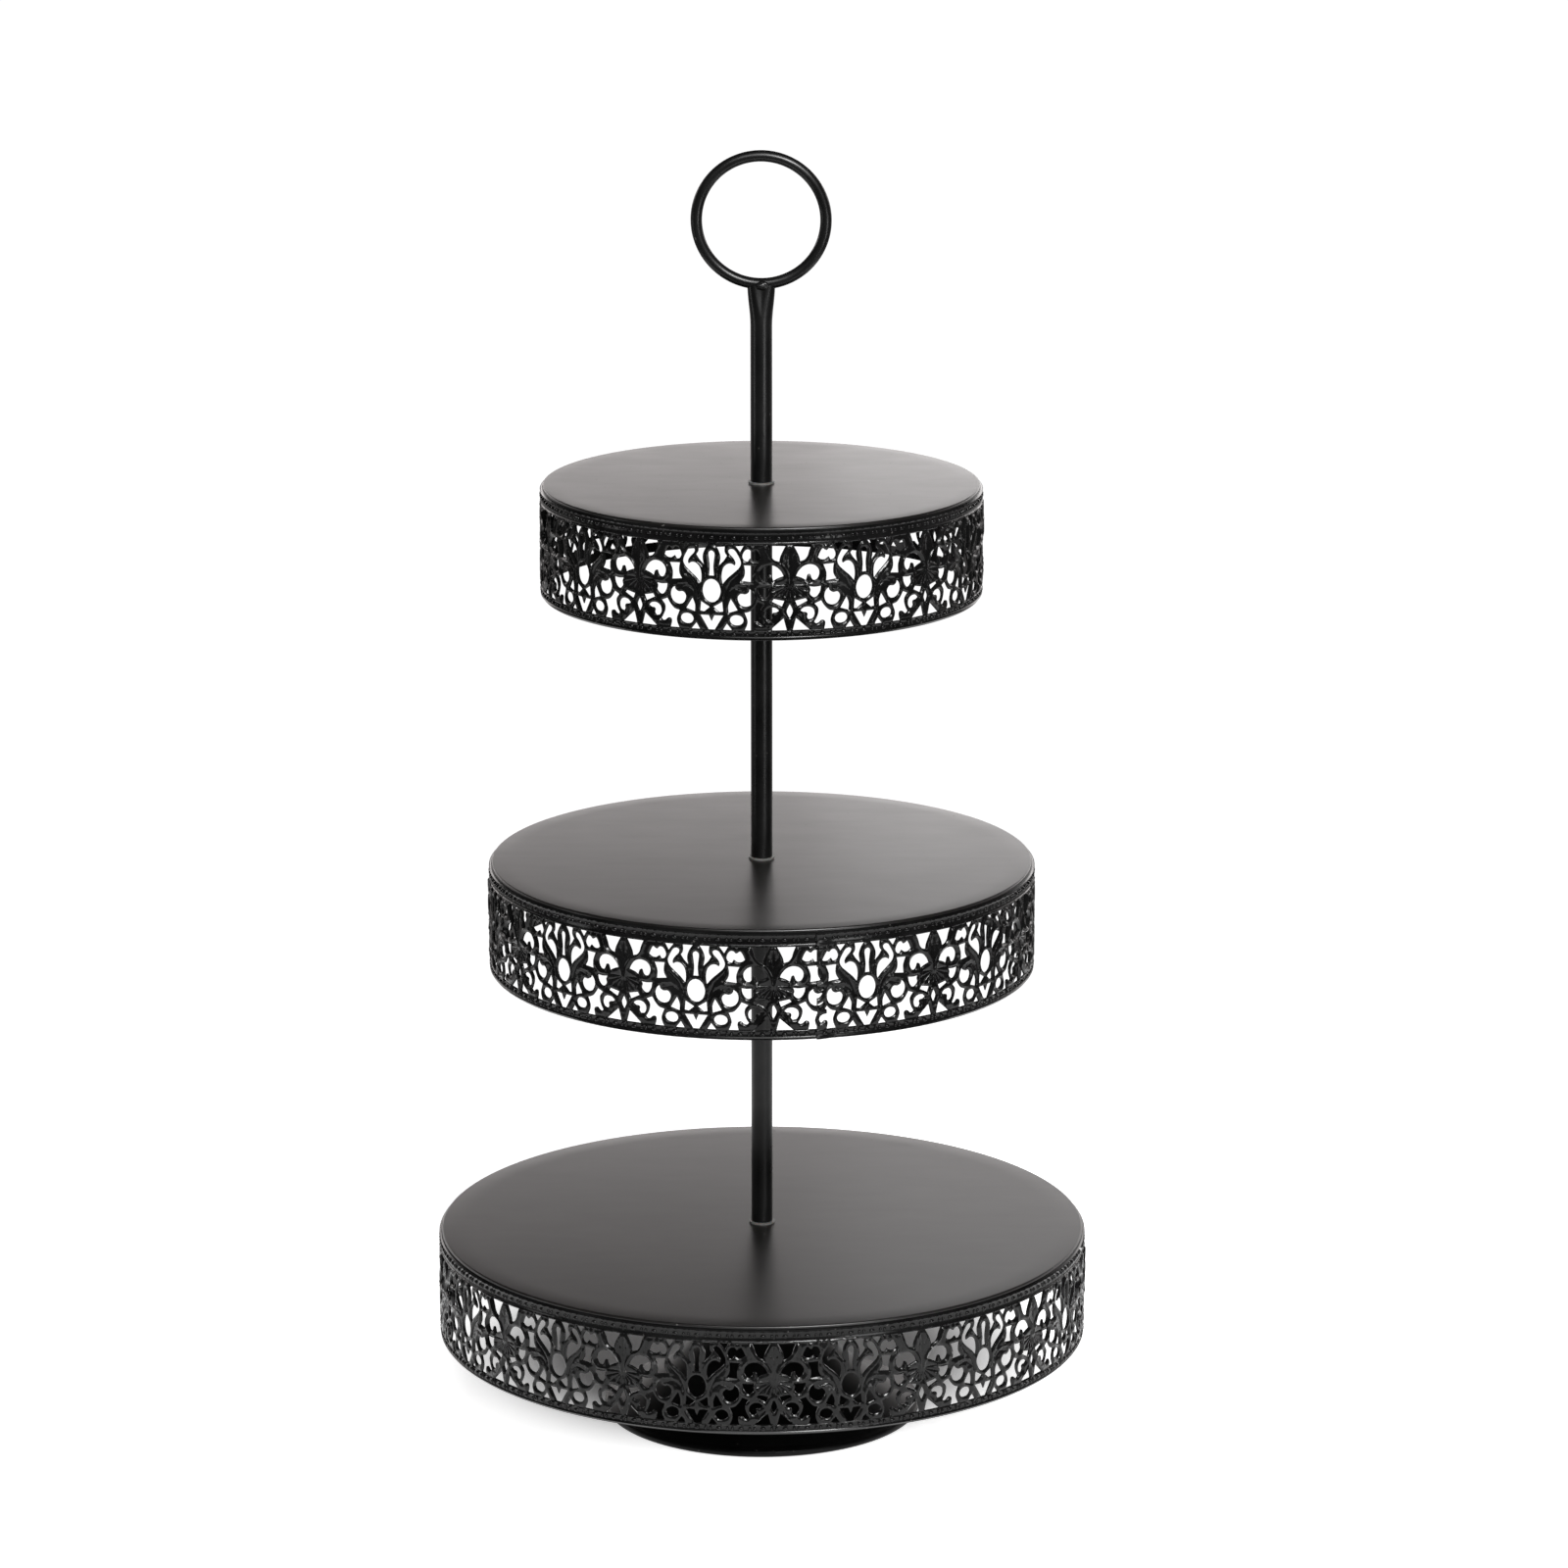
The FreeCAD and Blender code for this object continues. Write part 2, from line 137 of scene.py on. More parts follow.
# Ribs and leaf veins of the relief: (height, half width, points of the line).
PALMETTE_LINES = [
    (0.30, 0.40, [(9.2, 24.6), (12.6, 25.9), (16.2, 25.0), (19.2, 22.6), (20.7, 19.4)]),
    (-0.45, 0.45, [(5.9, 18.2), (6.7, 22.2), (9.0, 26.6), (12.2, 29.8), (14.0, 33.4)]),
    (-0.35, 0.35, [(2.8, 28.6), (2.9, 31.6), (5.2, 34.9), (8.3, 37.1)]),
    (-0.35, 0.35, [(7.9, 22.0), (10.6, 23.7), (13.6, 23.2), (16.0, 22.6)]),
]
LILY_LINES = [
    (0.42, 0.42, [(11.3, 43.2), (9.5, 38.8), (7.4, 36.0), (4.2, 34.2), (2.0, 30.6), (0.7, 25.6)]),
    (0.35, 0.40, [(7.4, 25.9), (9.4, 25.8), (12.6, 26.0), (15.0, 28.6), (15.0, 31.9), (12.4, 35.2)]),
    (-0.35, 0.35, [(0.0, 34.0), (0.0, 42.0)]),
    (-0.25, 0.30, [(1.3, 37.2), (2.4, 40.2), (1.6, 42.2)]),
    (0.30, 0.40, [(1.4, 17.6), (3.6, 14.4), (3.4, 11.8), (6.6, 8.0), (10.9, 7.4)]),
]
SHELL_CENTRE_V = 25.5
SHELL_INNER = 2.2
SHELL_RADIUS = 8.4
SHELL_SPREAD = 100  # degrees from straight down to the shell's outermost flute
SHELL_FLUTES = 5
SHELL_DEPTH = 0.42

EDGE_HEIGHT = 0.32  # of the strip's face at the edge of an opening, above its flat back
CREST_HEIGHT = 1.55
HOLLOW_HEIGHT = 0.95  # in the middle of a wide leaf, inside its raised edge
CREST_PLACE = 1.15  # how far inside an edge the face is highest
HOLLOW_PLACE = 2.30
RAIL_HEIGHT = 0.62
RAIL_RIDGES = (1.0, 4.25, 44.05, 49.25)
RIDGE_HEIGHT = 0.55
RIDGE_HALF_WIDTH = 0.42
RAIL_EDGE_DROP = 0.25  # how far the rails' outer edges are rounded down, over this width
RAIL_EDGE_WIDTH = 0.6
RAIL_BLEND = 1.2  # width over which the rails pass into the scrolls
LINE_FADE = 0.5  # ribs and veins die out over this width beside an opening
FLUTE_HALF_WIDTH = 0.33
SMOOTHING = 0.32  # of the whole relief

# How finely the lace is divided.
OUTLINE_STEP = 0.60
LINE_STEP = 0.60
FACE_STEP = 0.95
RAIL_STEP = 1.0
LEAST_GAP = 0.27
GRID_STEP = 0.20  # of the grid on which the relief is smoothed
EDGE_STEPS = (0.28, 0.66)  # rows of points this far inside every edge
ROW_CLEARANCE = 0.85  # share of its distance that such a point keeps from every other edge
HONEYCOMB_CLEARANCE = EDGE_STEPS[-1] + 0.35
OUTLINE_CLEARANCE = 0.18
BORDER_CLEARANCE = 0.12
CREST_GAPS = (0.42, CREST_PLACE + 0.3)  # half widths of the scrolls with a row along their middle
LINE_SHOULDER = 1.3  # rows beside a rib or vein, in half widths from its middle
TANGENT_LIMIT = 1.6  # longest tangent of a smooth line, in lengths of the chord beside it
POINTS_AT_A_TIME = 2000  # to spare memory
SAME_PLACE = 1e-4
RAIL_ROWS = (
    0.25, 0.6, 1.0, 1.4, 1.8, 3.45, 3.85, 4.25, 4.6,
    43.5, 43.7, 44.05, 44.45, 44.85, 48.45, 48.85, 49.25, 49.65,
)


def eased(t):
    """Smooth step from 0 to 1, level at both ends."""
    return t * t * (3 - 2 * t)


def smooth_closed(points, step, spans=None):
    """Points about a step apart along the smooth closed line through an outline's points."""
    count = len(points)
    places = np.array([p[:2] for p in points], float)
    sharp = [len(p) > 2 for p in points]
    out = []
    for i in range(count if spans is None else spans):
        a, b = places[i], places[(i + 1) % count]
        chord = b - a
        before = chord if sharp[i] else (b - places[i - 1]) / 2
        after = chord if sharp[(i + 1) % count] else (places[(i + 2) % count] - a) / 2
        length = np.linalg.norm(chord)
        longest = TANGENT_LIMIT * length
        before, after = (
            t * min(1.0, longest / max(np.linalg.norm(t), 1e-6)) for t in (before, after)
        )
        straight = sharp[i] and sharp[(i + 1) % count]
        steps = max(1, round(length / (2 * step if straight else step)))
        for t in np.arange(steps) / steps:
            t2, t3 = t * t, t * t * t
            out.append(
                (2 * t3 - 3 * t2 + 1) * a + (t3 - 2 * t2 + t) * before
                + (3 * t2 - 2 * t3) * b + (t3 - t2) * after
            )
    if spans is not None:
        out.append(places[spans % count])
    return np.array(out)


def smooth_open(points, step):
    """Points about a step apart along the smooth line through some points."""
    places = [(2 * points[0][0] - points[1][0], 2 * points[0][1] - points[1][1])] + list(points)
    places.append((2 * points[-1][0] - points[-2][0], 2 * points[-1][1] - points[-2][1]))
    whole = smooth_closed(places, step, len(points))
    first = np.argmin(np.hypot(*(whole - np.array(points[0])).T))
    return whole[first:]


def from_lily(line):
    """A line that was measured from the lily's axis, put in its place."""
    return line * (-1.0, 1.0) + (HALF_REPEAT, 0.0)


def opening_outlines():
    """Every opening of the half repeat as a closed line, the halved ones closed along their axis."""
    outlines = [smooth_closed(points, OUTLINE_STEP) for points in PALMETTE_OPENINGS]
    lily = [smooth_closed(points, OUTLINE_STEP) for points in LILY_OPENINGS]
    for home, halves in ((outlines, PALMETTE_AXIS_OPENINGS), (lily, LILY_AXIS_OPENINGS)):
        for points in halves:
            mirrored = [(-p[0],) + tuple(p[1:]) for p in points[-2:0:-1]]
            home.append(smooth_closed(points + mirrored, OUTLINE_STEP, len(points) - 1))
    return outlines + [from_lily(line) for line in lily]


def distance_to_lines(points, lines, closed=True):
    """How far each point is from the nearest of some lines."""
    if closed:
        lines = [np.concatenate([line, line[:1]]) for line in lines]
    a = np.concatenate([line[:-1] for line in lines])
    ab = np.concatenate([np.diff(line, axis=0) for line in lines])
    square = np.maximum((ab**2).sum(1), 1e-12)
    nearest = []
    for some in np.array_split(points, range(POINTS_AT_A_TIME, len(points), POINTS_AT_A_TIME)):
        p = some[:, None, :]
        t = np.clip(((p - a) * ab).sum(2) / square, 0, 1)
        gap = p - (a + t[..., None] * ab)
        nearest.append(np.sqrt((gap**2).sum(2).min(1)))
    return np.concatenate(nearest)


def in_any(points, outlines):
    """Which points lie inside any of some closed lines."""
    hit = np.zeros(len(points), bool)
    x, y = points[:, 0, None], points[:, 1, None]
    for outline in outlines:
        x0, y0 = outline.T
        x1, y1 = np.roll(outline, -1, axis=0).T
        crosses = (y0 > y) != (y1 > y)
        with np.errstate(divide="ignore", invalid="ignore"):
            at = x0 + (y - y0) * (x1 - x0) / (y1 - y0)
        hit |= (crosses & (x < at)).sum(1) % 2 == 1
    return hit


def right_of(along):
    """Unit vectors to the right of some directions."""
    right = np.stack([along[:, 1], -along[:, 0]], 1)
    return right / np.maximum(np.linalg.norm(right, axis=1, keepdims=True), 1e-9)


def edge_rows(outlines):
    """Rows of points just inside the metal along every opening."""
    rows = []
    for outline in outlines:
        u, v = outline.T
        area = (u * np.roll(v, -1) - np.roll(u, -1) * v).sum()
        outward = right_of(np.roll(outline, -1, axis=0) - np.roll(outline, 1, axis=0))
        outward *= 1 if area > 0 else -1
        for step in EDGE_STEPS:
            row = outline + outward * step
            gap = distance_to_lines(row, outlines)
            rows.append(row[gap > ROW_CLEARANCE * step])
    return np.concatenate(rows)


def relief_paths():
    """(rise, half width, points along it) of every rib, vein and flute."""
    paths = [(rise, width, smooth_open(line, LINE_STEP)) for rise, width, line in PALMETTE_LINES]
    for rise, width, line in LILY_LINES + shell_flutes():
        paths.append((rise, width, from_lily(smooth_open(line, LINE_STEP))))
    return paths


def shell_flutes():
    """The grooves that fan out from the lily's foot over its shell."""
    lines = []
    for k in range(SHELL_FLUTES):
        bearing = math.radians(SHELL_SPREAD * (k + 0.5) / SHELL_FLUTES)
        ends = []
        for radius in (SHELL_INNER, (SHELL_INNER + SHELL_RADIUS) / 2, SHELL_RADIUS):
            ends.append((radius * math.sin(bearing), SHELL_CENTRE_V - radius * math.cos(bearing)))
        lines.append((-SHELL_DEPTH, FLUTE_HALF_WIDTH, ends))
    return lines


class FaceGrid:
    """The flat half repeat sampled on a fine grid: how far each place is inside the metal."""

    def __init__(self, outlines):
        us = np.arange(0, HALF_REPEAT + GRID_STEP, GRID_STEP)
        vs = np.arange(0, BAND_HEIGHT + GRID_STEP, GRID_STEP)
        u, v = np.meshgrid(us, vs, indexing="ij")
        self.shape = u.shape
        self.points = np.column_stack([u.ravel(), v.ravel()])
        self.metal = ~in_any(self.points, outlines).reshape(self.shape)
        self.gap = distance_to_lines(self.points, outlines).reshape(self.shape) * self.metal

    def blurred(self, heights, sigma):
        """Heights smoothed over the metal, as if the tool that pressed them had no sharp edge."""
        reach = math.ceil(3 * sigma / GRID_STEP)
        weights = np.exp(-0.5 * (np.arange(-reach, reach + 1) * GRID_STEP / sigma) ** 2)
        sums = []
        for layer in (heights * self.metal, self.metal.astype(float)):
            for axis in (0, 1):
                pads = [(reach, reach) if k == axis else (0, 0) for k in (0, 1)]
                wide = np.pad(layer, pads, "symmetric")
                layer = np.apply_along_axis(np.convolve, axis, wide, weights, "valid")
            sums.append(layer)
        return sums[0] / np.maximum(sums[1], 1e-6)

    def at(self, heights, points):
        """Heights of the grid, read between its places."""
        place = points / GRID_STEP
        low = np.minimum(place.astype(int), np.array(self.shape) - 2)
        s, t = (place - low).T
        i, j = low.T
        return (
            heights[i, j] * (1 - s) * (1 - t) + heights[i + 1, j] * s * (1 - t)
            + heights[i, j + 1] * (1 - s) * t + heights[i + 1, j + 1] * s * t
        )

    def crests(self):
        """Places along the middles of the scrolls, where the gap to the nearest edge is greatest."""
        gap = self.gap
        crest = np.zeros(gap.shape, bool)
        for step in ((1, 0), (0, 1), (1, 1), (1, -1)):
            one, other = (np.roll(gap, (way * step[0], way * step[1]), (0, 1)) for way in (-1, 1))
            bend = 2 * gap - one - other
            crest |= (bend > GRID_STEP * math.hypot(*step)) & (gap >= np.maximum(one, other))
        crest[[0, -1]] = crest[:, [0, -1]] = False
        crest &= (gap > CREST_GAPS[0]) & (gap < CREST_GAPS[1])
        found = self.points[crest.ravel()]
        return found[(found[:, 1] > BOTTOM_RAIL_TOP) & (found[:, 1] < TOP_RAIL_BOTTOM)]


def line_points():
    """Rows of points on and beside every line of the relief."""
    rows = []
    for _, width, path in relief_paths():
        beside = right_of(np.gradient(path, axis=0)) * width * LINE_SHOULDER
        rows += [path, path - beside, path + beside]
    return np.concatenate(rows)


def places_across():
    """Places from the palmette's axis to the lily's, about RAIL_STEP apart."""
    return np.linspace(0, HALF_REPEAT, round(HALF_REPEAT / RAIL_STEP) + 1)


def face_points(outlines, face):
    """A honeycomb of points over the metal, with closer rows along edges and rails."""
    rise = FACE_STEP * math.sqrt(0.75)
    grid = []
    for k, v in enumerate(np.arange(BOTTOM_RAIL_TOP, TOP_RAIL_BOTTOM, rise)):
        first = FACE_STEP / 2 if k % 2 else 0.0
        grid += [(u, v) for u in np.arange(first, HALF_REPEAT, FACE_STEP)]
    grid = np.array(grid)
    grid = grid[distance_to_lines(grid, outlines) > HONEYCOMB_CLEARANCE]
    rail = [(u, v) for v in RAIL_ROWS for u in places_across()]
    lines = line_points()
    lines = lines[distance_to_lines(lines, outlines) > EDGE_STEPS[0]]
    crests = thinned(face.crests(), 2 * LEAST_GAP)
    points = np.concatenate([lines, crests, edge_rows(outlines), np.array(rail), grid])
    for axis, size in ((0, HALF_REPEAT), (1, BAND_HEIGHT)):
        at = points[:, axis]
        points = points[(at > BORDER_CLEARANCE) & (at < size - BORDER_CLEARANCE)]
    points = points[distance_to_lines(points, outlines) > OUTLINE_CLEARANCE]
    return points[~in_any(points, outlines)]


def thinned(points, gap):
    """The points, in order, that are further than a gap from every earlier one."""
    cells, kept = {}, []
    for p in points:
        i, j = int(p[0] // gap), int(p[1] // gap)
        around = [(i + di, j + dj) for di in (-1, 0, 1) for dj in (-1, 0, 1)]
        near = [q for place in around for q in cells.get(place, ())]
        if all((p[0] - q[0]) ** 2 + (p[1] - q[1]) ** 2 > gap * gap for q in near):
            cells.setdefault((i, j), []).append(p)
            kept.append(p)
    return np.array(kept)


def axis_points(outlines):
    """Points on each of the axes: the ends of halved openings, and steps between them."""
    found = []
    for u in (0.0, HALF_REPEAT):
        ends = {0.0, BAND_HEIGHT} | set(RAIL_ROWS)
        for outline in outlines:
            on = outline[np.abs(outline[:, 0] - u) < SAME_PLACE]
            ends |= {round(float(v), 6) for v in on[:, 1]}
        ends = sorted(ends)
        levels = []
        for low, high in zip(ends, ends[1:]):
            steps = max(1, round((high - low) / FACE_STEP))
            levels += [low + (high - low) * k / steps for k in range(steps)]
        found.append([(u, v) for v in levels + [BAND_HEIGHT]])
    return found


def triangulated(outlines, inner):
    """Triangles over the metal of the half repeat, as (points, triples of indices)."""
    left, right = axis_points(outlines)
    across = places_across()[1:-1]
    border = left + [(u, BAND_HEIGHT) for u in across]
    border += right[::-1] + [(u, 0.0) for u in across[::-1]]
    loops = [np.array(border)] + outlines
    points, edges = [], []
    for loop in loops:
        first = len(points)
        points += [tuple(p) for p in loop]
        edges += [(first + k, first + (k + 1) % len(loop)) for k in range(len(loop))]
    points += [tuple(p) for p in inner]
    flat = [Vector((float(u), float(v))) for u, v in points]
    inside_only, merge_distance = 1, 1e-5
    verts, _, faces, *_ = delaunay_2d_cdt(flat, edges, [], inside_only, merge_distance)
    verts = np.array([tuple(v) for v in verts])
    tris = np.array([f for f in faces if len(f) == 3])
    middle = verts[tris].mean(1)
    return verts, tris[~in_any(middle, outlines)]


def dome_heights(gap):
    """Height of the face by its distance from an edge: up to a round crest, then into a hollow."""
    rounded = 1 - (1 - np.clip(gap / CREST_PLACE, 0, 1)) ** 2
    into = np.clip((gap - CREST_PLACE) / (HOLLOW_PLACE - CREST_PLACE), 0, 1)
    crest = EDGE_HEIGHT + (CREST_HEIGHT - EDGE_HEIGHT) * rounded
    return crest - (CREST_HEIGHT - HOLLOW_HEIGHT) * eased(into)


def relief(points, outlines, face):
    """Height of the strip's face above its flat back."""
    v = points[:, 1]
    in_rail = (v < BOTTOM_RAIL_TOP) | (v > TOP_RAIL_BOTTOM)
    to_rail = np.minimum(np.abs(v - BOTTOM_RAIL_TOP), np.abs(v - TOP_RAIL_BOTTOM))
    dome = face.at(face.blurred(dome_heights(face.gap), SMOOTHING), points)
    fade = np.clip(distance_to_lines(points, outlines) / LINE_FADE, 0, 1)
    for rise, half_width, path in relief_paths():
        away = distance_to_lines(points, [path], closed=False)
        dome += rise * np.exp(-((away / half_width) ** 2)) * fade
    to_side = np.minimum(v, BAND_HEIGHT - v)
    rail = RAIL_HEIGHT - RAIL_EDGE_DROP * np.clip(1 - to_side / RAIL_EDGE_WIDTH, 0, 1)
    for v0 in RAIL_RIDGES:
        rail += RIDGE_HEIGHT * np.exp(-(((v - v0) / RIDGE_HALF_WIDTH) ** 2))
    return np.where(in_rail, rail, rail + (dome - rail) * eased(np.clip(to_rail / RAIL_BLEND, 0, 1)))


def walls_between(front, tris):
    """Triangles from the front's edges, except those on the axes, to the same points of the back."""
    sides = dict.fromkeys(side for a, b, c in tris for side in ((a, b), (b, c), (c, a)))
    walls = []
    for a, b in sides:
        ends = front[[a, b], 0]
        on_axis = np.all(ends < SAME_PLACE) or np.all(ends > HALF_REPEAT - SAME_PLACE)
        if (b, a) not in sides and not on_axis:
            c, d = a + len(front), b + len(front)
            walls += [(b, a, c), (b, c, d)]
    return np.array(walls)


def half_repeat():
    """The half repeat as a thick sheet: points (u, v, height) and triangles, open along both axes.

    The points of the outlines come first on the front, and the back has only those.
    """
    outlines = opening_outlines()
    face = FaceGrid(outlines)
    inner = thinned(face_points(outlines, face), LEAST_GAP)
    front, tris = triangulated(outlines, inner)
    back, back_tris = triangulated(outlines, np.zeros((0, 2)))
    heights = relief(front, outlines, face)
    points = np.concatenate(
        [np.column_stack([front, heights]), np.column_stack([back, np.zeros(len(back))])]
    )
    back_tris = back_tris[:, ::-1] + len(front)
    return points, np.concatenate([tris, back_tris, walls_between(front, tris)])


def flat_strip(half, first, count):
    """Some half repeats side by side, as points and triangles; half number 0 starts at u = 0."""
    points, triangles = half
    all_points, all_triangles = [], []
    for n in range(first, first + count):
        placed, faces = points.copy(), triangles
        if n % 2:
            placed[:, 0] = (n + 1) * HALF_REPEAT - placed[:, 0]
            faces = triangles[:, ::-1]
        else:
            placed[:, 0] += n * HALF_REPEAT
        all_triangles.append(faces + len(points) * len(all_points))
        all_points.append(placed)
    points = np.concatenate(all_points)
    triangles = np.concatenate(all_triangles)
    keys = np.round(points * 1000).astype(np.int64)  # points within a thousandth are one
    _, firsts, ids = np.unique(keys, axis=0, return_index=True, return_inverse=True)
    return points[firsts], ids.reshape(-1)[triangles]


# ---- the lace, bent round the trays ----

BEAD_PITCH = 10.06  # one large bead and two small ones
BEADS = ((0.0, 1.40), (4.05, 0.78), (6.15, 0.78))  # place within the pitch, half length
BEAD_ROWS = (2.62, 46.75)
BEAD_SIDES = 10
BEAD_HALF_WIDTH = 1.02
BEAD_HEIGHT = 0.82
BEAD_SINK = 0.06  # into the rail
BEAD_RINGS = ((1.0, 0.0), (0.83, 0.56), (0.42, 0.91))  # radius and height, of a bead of size 1
LAP_LIFT = 1.35  # of the outer strip's end over the other's, in a ramp of this length
LAP_RAMP = 9.0
SHARP_DEGREES = {"lace": 50, "turned": 35, "handle": 40}  # past these, an edge is shaded as sharp
NEUTRAL_HEIGHT = 0.8  # of the layer that keeps its length when the strip is bent
PLATE_RIM_R = {"bottom": 151.6, "middle": 126.2, "top": 100.8}
TRAY_BODIES = {"bottom": "bottom_tier", "middle": "middle_tier", "top": "top_tier"}

# For each tier, its strips: where one starts, where it ends and where one of its palmettes is, in
# degrees to the right of the front.
STRIPS = {
    "bottom": [(-180.0, 80.0, -11.0), (80.0, 180.0, -11.0)],
    "middle": [(11.3, 180.0, 22.2), (-180.0, 13.5, -13.3)],
    "top": [(-180.0, 180.0, -12.5)],
}
LAPPED_STRIP = ("middle", 0)  # its left end lies over the other strip's end
SMALLEST_GAP = 0.02  # between the cut ends of strips, in degrees


def cut_to(points, triangles, low, high):
    """The part of a flat closed sheet between two places along it, with its ends closed."""
    mesh = bmesh.new()
    verts = [mesh.verts.new(p) for p in points]
    for a, b, c in triangles.tolist():
        mesh.faces.new((verts[a], verts[b], verts[c]))
    for place, direction in ((low, -1), (high, 1)):
        geometry = mesh.verts[:] + mesh.edges[:] + mesh.faces[:]
        cut = bmesh.ops.bisect_plane(
            mesh, geom=geometry, dist=1e-5, plane_co=(place, 0, 0), plane_no=(direction, 0, 0),
            clear_outer=True,
        )
        edges = [e for e in cut["geom_cut"] if isinstance(e, bmesh.types.BMEdge) and e.is_boundary]
        bmesh.ops.holes_fill(mesh, edges=edges, sides=0)
    bmesh.ops.triangulate(mesh, faces=mesh.faces[:])
    mesh.verts.index_update()
    points = np.array([v.co[:] for v in mesh.verts])
    triangles = np.array([[v.index for v in f.verts] for f in mesh.faces])
    mesh.free()
    return points, triangles


def bead_mesh():
    """A low dome of radius 1 on the plane, open below, as points and triangles."""
    points, triangles = [], []
    for r, h in BEAD_RINGS:
        for k in range(BEAD_SIDES):
            angle = 2 * math.pi * k / BEAD_SIDES
            points.append((r * math.cos(angle), r * math.sin(angle), h))
    points.append((0, 0, 1.0))
    for ring in range(len(BEAD_RINGS) - 1):
        for k in range(BEAD_SIDES):
            a, b = ring * BEAD_SIDES + k, ring * BEAD_SIDES + (k + 1) % BEAD_SIDES
            triangles += [(a, b, b + BEAD_SIDES), (a, b + BEAD_SIDES, a + BEAD_SIDES)]
    last = (len(BEAD_RINGS) - 1) * BEAD_SIDES
    top = len(points) - 1
    triangles += [(last + k, last + (k + 1) % BEAD_SIDES, top) for k in range(BEAD_SIDES)]
    triangles += [(0, k + 1, k) for k in range(1, BEAD_SIDES - 1)]
    return np.array(points), np.array(triangles)


def beads_between(low, high, palmette):
    """The beads of both rails of a strip, as points and triangles."""
    dome, faces = bead_mesh()
    points, triangles = [], []
    first, end = math.floor((low - palmette) / BEAD_PITCH), math.ceil((high - palmette) / BEAD_PITCH)
    for n in range(first, end):
        for place, half_length in BEADS:
            u = palmette + n * BEAD_PITCH + place
            if not low + half_length < u < high - half_length:
                continue
            for v in BEAD_ROWS:
                scale = (half_length, BEAD_HALF_WIDTH, BEAD_HEIGHT)
                triangles.append(faces + len(dome) * len(points))
                points.append(dome * scale + (u, v, RAIL_HEIGHT - BEAD_SINK))
    return np.concatenate(points), np.concatenate(triangles)


def bent(points, back_r, bottom_z, lift_at=None):
    """A flat strip bent round a tray, with u running to the right from the front."""
    angle = points[:, 0] / (back_r + NEUTRAL_HEIGHT)
    radius = back_r + points[:, 2]
    if lift_at is not None:
        radius = radius + LAP_LIFT * eased(np.clip(1 - (points[:, 0] - lift_at) / LAP_RAMP, 0, 1))
    z = bottom_z + points[:, 1]
    return np.column_stack([radius * np.sin(angle), -radius * np.cos(angle), z])


def new_object(name, data):
    """An object in the scene, made of some data."""
    thing = bpy.data.objects.new(name, data)
    bpy.context.scene.collection.objects.link(thing)
    return thing


def new_mesh(name, points, faces, sharp_degrees=None):
    """An object from points in millimetres and faces."""
    mesh = bpy.data.meshes.new(name)
    mesh.from_pydata((np.asarray(points) * MM).tolist(), [], [list(map(int, f)) for f in faces])
    mesh.update()
    mesh.shade_smooth()
    if sharp_degrees:
        mesh.set_sharp_from_angle(angle=math.radians(sharp_degrees))
    return new_object(name, mesh)


def make_lace(half, tier, number):
    """One strip of a tier's lace band, with its beads."""
    start, end, palmette = STRIPS[tier][number]
    back_r = PLATE_RIM_R[tier]
    bottom_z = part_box(tier + "_lace_band")[1].z / MM - BAND_HEIGHT
    scale = math.radians(1) * (back_r + NEUTRAL_HEIGHT)
    places = (start + SMALLEST_GAP, end - SMALLEST_GAP, palmette)
    first, last, centre = (place * scale for place in places)
    low_half = math.floor((first - centre) / HALF_REPEAT)
    count = math.ceil((last - centre) / HALF_REPEAT) - low_half
    points, faces = flat_strip(half, low_half, count)
    points, faces = cut_to(points + (centre, 0, 0), faces, first, last)
    beads, bead_faces = beads_between(first, last, centre)
    points = np.concatenate([points, beads])
    faces = np.concatenate([faces, bead_faces + len(points) - len(beads)])
    lapped = (tier, number) == LAPPED_STRIP
    points = bent(points, back_r, bottom_z, first if lapped else None)
    piece = new_mesh(f"{tier}_lace_{number + 1}", points, faces, SHARP_DEGREES["lace"])
    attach(piece, TRAY_BODIES[tier])
    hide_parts(tier + "_lace_band")
    return piece


# ---- turned and swept pieces ----

SHEET = 1.2  # thickness of the plates and the foot
TURN_SIDES = {"plate": 256, "rod": 72, "handle": 96, "foot": 200}
PLATE_RINGS = 14
RIM_BEND = 0.9
STUD_HOLE_R = 3.25

ROD_WALL = 1.0
ROD_EDGE = 0.35  # radius at the rods' cut ends
ROD_RINGS = 8  # the first and last of them this far from the ends
ROD_END = 8.0

# The handle's top, pressed flat, and the crease pinched in front and behind it.
HANDLE_R = 5.0
HANDLE_CHAMFER = 0.3
FLAT_HALF_SIZE = (6.35, 3.7)
FLAT_LENGTH = 19.0
FLAT_RINGS = 34
CREASE_LENGTH = 14.0
CREASE_DEPTH = 1.3
CREASE_WIDTH = 0.5  # at its foot; at its top it is wider by the spread
CREASE_SPREAD = 2.9
CREASE_SHARPNESS = 1.6

RING_STEPS = (160, 28)  # round the ring, and round its bar
RING_OUT_OF_ROUND = 0.12
RING_PHASE = 0.7  # radians

WELD_HALF_SIZE = (4.9, 3.75, 2.9)
WELD_OFF_CENTRE = 0.4
WELD_LUMP = 0.05
# Waves along x, y and z, and the phase.
WELD_WAVES = ((5.1, 3.3, 4.7, 0.0), (9.7, 8.1, 6.9, 1.3), (17.0, 13.0, 15.0, 2.1))

